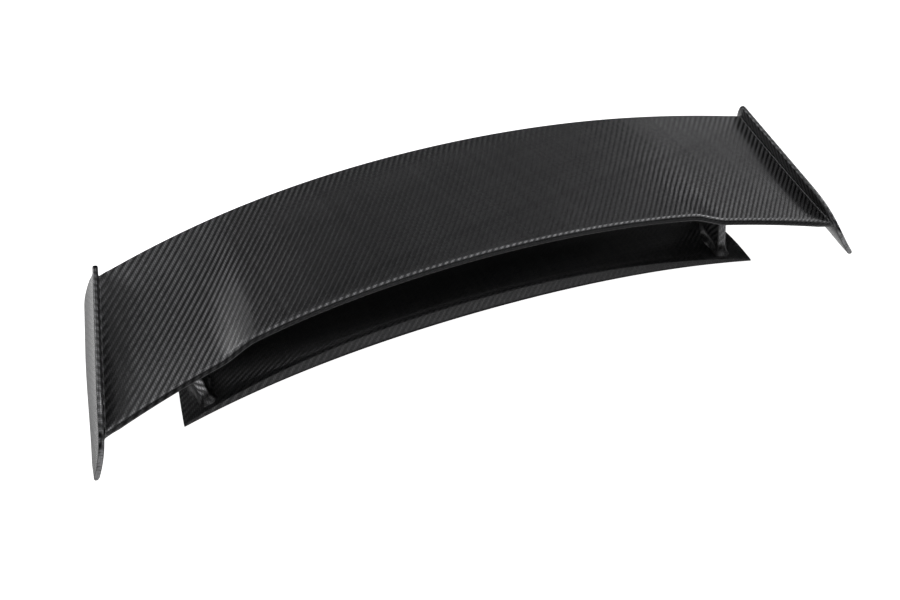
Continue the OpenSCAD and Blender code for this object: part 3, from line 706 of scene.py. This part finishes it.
def make_endplates():
    stations = round_run(80, PLATE_L, PLATE_R)
    for side, label in ((1, "left"), (-1, "right")):
        for layer, name in ((1, "outer"), (-1, "inner")):
            outer, inner, uvs = [], [], []
            for s in stations:
                h = 2 * plate_half_h(s)
                fs = [d / 100 for d in round_run(30, 100, min(45, 100 * PLATE_R / max(h, 1)))]
                half_ts = [plate_half_t(s, f) for f in fs]
                outer.append([plate_point(s, f, layer * max(half_t, PLATE_MIN_OUT))
                              for f, half_t in zip(fs, half_ts)])
                inner.append([plate_point(s, f, layer * max(half_t - SKIN_T, BOND / 2))
                              for f, half_t in zip(fs, half_ts)])
                uvs.append([flat_tows(-s, layer * (f * h + PLATE_WEAVE_SHIFT)) for f in fs])
            if side < 0:
                outer, inner = mirrored(outer), mirrored(inner)
            grid_piece(f"{label}_endplate_{name}", outer, inner, uvs,
                       [f"{label}_endplate_{name}_skin"])


# ---- uprights ----

TOE = math.radians(UPRIGHT_TOE)
FRONT_B = 1.5           # the first station beside the seam in front
TAIL_STEP = 1.5         # between the stations that round the tail's end
TAIL_ROUND = 0.86       # half width at the middle one of them, as a part of the tail's


def upright_xy(a, b):
    across = UPRIGHT_W / 2 + b
    return (UPRIGHT_X + math.cos(TOE) * across + math.sin(TOE) * a,
            UPRIGHT_Y - math.sin(TOE) * across + math.cos(TOE) * a)


def upright_half_w(a):
    swell = ease((a - UPRIGHT_CORNER_R) / (WIDEST_A - UPRIGHT_CORNER_R))
    taper = ease((a - WIDEST_A) / (UPRIGHT_L - WIDEST_A))
    return mix(mix(UPRIGHT_W, UPRIGHT_MAX_W, swell) / 2, TAIL_HALF_W, taper)


def upright_point(a, b, k):
    x, y = upright_xy(a + UPRIGHT_RAKE * UPRIGHT_NOMINAL_H * k, b)
    return x, y, mix(base_z(x, y) + FIT_GAP, blade_low_z(x, y) - FIT_GAP, k)


def make_uprights():
    corner = [(UPRIGHT_CORNER_R * (1 - math.cos(math.radians(a))),
               UPRIGHT_W / 2 - UPRIGHT_CORNER_R * (1 - math.sin(math.radians(a)))) for a in steps(0, 90, 10)]
    outline = ([(0, BOND / 2), (0, FRONT_B)] + corner
               + [(a, upright_half_w(a)) for a in steps(UPRIGHT_CORNER_R, UPRIGHT_L - 2 * TAIL_STEP, 40)[1:]]
               + [(UPRIGHT_L - TAIL_STEP, TAIL_HALF_W * TAIL_ROUND), (UPRIGHT_L, BOND / 2)])
    inset = [(min(max(a, SKIN_T), UPRIGHT_L - SKIN_T), max(b - SKIN_T, BOND / 2)) for a, b in outline]
    levels = steps(0, FLARE_TOP, 14) + steps(FLARE_TOP, 1, 24)[1:]
    for side, label in ((1, "left"), (-1, "right")):
        for half, name in ((-1, "inboard"), (1, "outboard")):
            outer, inner, uvs = [], [], []
            for k in levels:
                spread = FOOT_FLARE * (1 - clamp01(k / FLARE_TOP)) ** 2
                row = []
                for a, b in outline:
                    front = max(0, 1 - a / UPRIGHT_CORNER_R)
                    widen = spread * b / UPRIGHT_W * 2 if b > BOND else 0
                    row.append(upright_point(a - spread * front, half * (b + widen), k))
                outer.append(row)
                inner.append([upright_point(a, half * b, k) for a, b in inset])
                uvs.append([flat_tows(half * run, row[0][2]) for run in run_lengths(row)])
            if side < 0:
                outer, inner = mirrored(outer), mirrored(inner)
            grid_piece(f"{label}_upright_{name}", outer, inner, uvs,
                       [f"{label}_upright_{name}_shell"])


# ---- base ----

HOLLOW_HALF_W = 572                     # beyond this the shell is closed
HOLLOW_MIN_H = 0.02
TIP_XS = [575, 576.4, BASE_HALF_W]      # stations at the tips


def make_base():
    even = steps(-HOLLOW_HALF_W, HOLLOW_HALF_W, 180)
    stations = sorted(set(even + TIP_XS + [-x for x in TIP_XS]))
    ws = steps(0.15, 0.97, 34)
    back = BASE_CHORD - RIM
    outer, inner, uvs = [], [], []
    for x in stations:
        top = lip(x)
        profile = [(0, 0), (0, EDGE_H)]
        profile += [(d, mix(EDGE_H, base_top_z(x, top / BASE_CHORD), d / top)) for d in steps(0, top, 6)[1:]]
        profile += [(w * BASE_CHORD, base_top_z(x, w)) for w in ws]
        profile += [(BASE_CHORD, BASE_REAR_H), (BASE_CHORD, 0)]
        hollow = abs(x) < HOLLOW_HALF_W
        under = []
        for d, z in profile:
            d_in = min(max(d, SETBACK), back)
            under.append((d_in, max(HOLLOW_MIN_H, z - 2 * SKIN_T) if hollow and 0 < z else 0))
        for target, source in ((outer, profile), (inner, under)):
            y0 = base_front_y(x)
            target.append([(x * side_spread(y0 + d), y0 + d, z) for d, z in source])
        runs = run_lengths([(0, d, z) for d, z in profile])
        uvs.append([flat_tows(x, base_front_y(x) + run) for run in runs])
    grid_piece("base_shell", outer, inner, uvs, ["base_upper_shell"])


# ---- stage: floor, lights and camera ----

FLOOR_GLOW, FLOOR_BOUNCE = 1.0, 0.25    # light that the floor gives off to the camera, and to the object
FLOOR_GAP = 0.0005                      # so that the floor isn't in the base's own plane
FLOOR_W = 40


def make_stage():
    """A floor that is pale to the camera, dimmer to the object, and can be seen through from below."""
    n = Nodes("studio_floor")
    to_camera = n.add("ShaderNodeLightPath").outputs["Is Camera Ray"]
    from_below = n.add("ShaderNodeNewGeometry").outputs["Backfacing"]
    n.shade(Base_Color=(0.88, 0.88, 0.88, 1), Roughness=0.7, Alpha=n.math("SUBTRACT", 1.0, from_below),
            Emission_Color=(1, 1, 1, 1), Emission_Strength=n.choose(to_camera, FLOOR_BOUNCE, FLOOR_GLOW))
    bpy.ops.mesh.primitive_plane_add(size=FLOOR_W, location=(0, 0, cad_low.z - FLOOR_GAP))
    floor = bpy.context.object
    floor.name = "floor"
    floor.data.materials.append(n.material)


# Softboxes far around the object: azimuth from the car's left, elevation, how wide each looks, and strength.
# The places are given one by one. The strengths were not: another program fitted them by least squares to
# the photo's brightness, and they are rounded.
SOFTBOXES = {
    "left_low_softbox": (0, 30, 24, 0.40),
    "left_softbox": (0, 45, 24, 0.17),
    "left_wide_softbox": (0, 50, 60, 0.34),
    "front_left_low_softbox": (-45, 30, 24, 0.11),
    "front_left_softbox": (-45, 55, 24, 0.03),
    "front_wide_softbox": (-90, 60, 60, 0.31),
    "overhead_softbox": (0, 90, 90, 0.14),
    "right_wide_softbox": (180, 50, 60, 0.22),
    "rear_right_softbox": (130, 40, 24, 0.12),
    "rear_right_low_softbox": (150, 40, 24, 0.40),
}


def softbox(name, azimuth, elevation, width, strength):
    a, e = math.radians(azimuth), math.radians(elevation)
    place = Vector((math.cos(a) * math.cos(e), math.sin(a) * math.cos(e), math.sin(e)))
    light = bpy.data.lights.new(name, "SUN")
    light.angle = math.radians(width)
    light.energy = strength
    lamp = bpy.data.objects.new(name, light)
    lamp.location = place
    lamp.rotation_euler = (-place).to_track_quat("-Z", "Y").to_euler()
    bpy.context.collection.objects.link(lamp)


WORLD_PALE, WORLD_DIM = 1.0, 0.002      # the backdrop as the camera sees it, and as it lights the object


def make_lights():
    """Softboxes in a dim room, whose backdrop is pale to the camera only."""
    world = bpy.data.worlds.new("studio")
    world.use_nodes = True
    tree = world.node_tree
    seen = tree.nodes.new("ShaderNodeLightPath").outputs["Is Camera Ray"]
    level = tree.nodes.new("ShaderNodeMapRange")
    level.inputs["To Min"].default_value = WORLD_DIM
    level.inputs["To Max"].default_value = WORLD_PALE
    tree.links.new(seen, level.inputs["Value"])
    tree.links.new(level.outputs[0], tree.nodes["Background"].inputs[0])
    bpy.context.scene.world = world
    for name, place_and_strength in SOFTBOXES.items():
        softbox(name, *place_and_strength)


# Fitted by least squares to the photo's outline, with the elevation given
CAMERA_PLACE = (-0.2540, -1.0761, 0.7597)
CAMERA_AZIMUTH, CAMERA_ELEVATION, CAMERA_ROLL = 11.65, 35.0, -8.91     # degrees
CAMERA_LENS, SENSOR_W = 25.0, 36    # millimetres


def make_camera():
    camera = bpy.data.objects.new("camera", bpy.data.cameras.new("camera"))
    camera.data.lens = CAMERA_LENS
    camera.data.sensor_width = SENSOR_W
    camera.location = CAMERA_PLACE
    turn = (Matrix.Rotation(math.radians(-CAMERA_AZIMUTH), 3, "Z")
            @ Matrix.Rotation(math.radians(90 - CAMERA_ELEVATION), 3, "X")
            @ Matrix.Rotation(math.radians(CAMERA_ROLL), 3, "Z"))
    camera.rotation_euler = turn.to_euler()
    bpy.context.collection.objects.link(camera)
    bpy.context.scene.camera = camera


make_camera()
finish_cad_nodes()
make_blade()
make_endplates()
make_uprights()
make_base()
make_stage()
make_lights()
bpy.context.scene.view_settings.view_transform = "Standard"
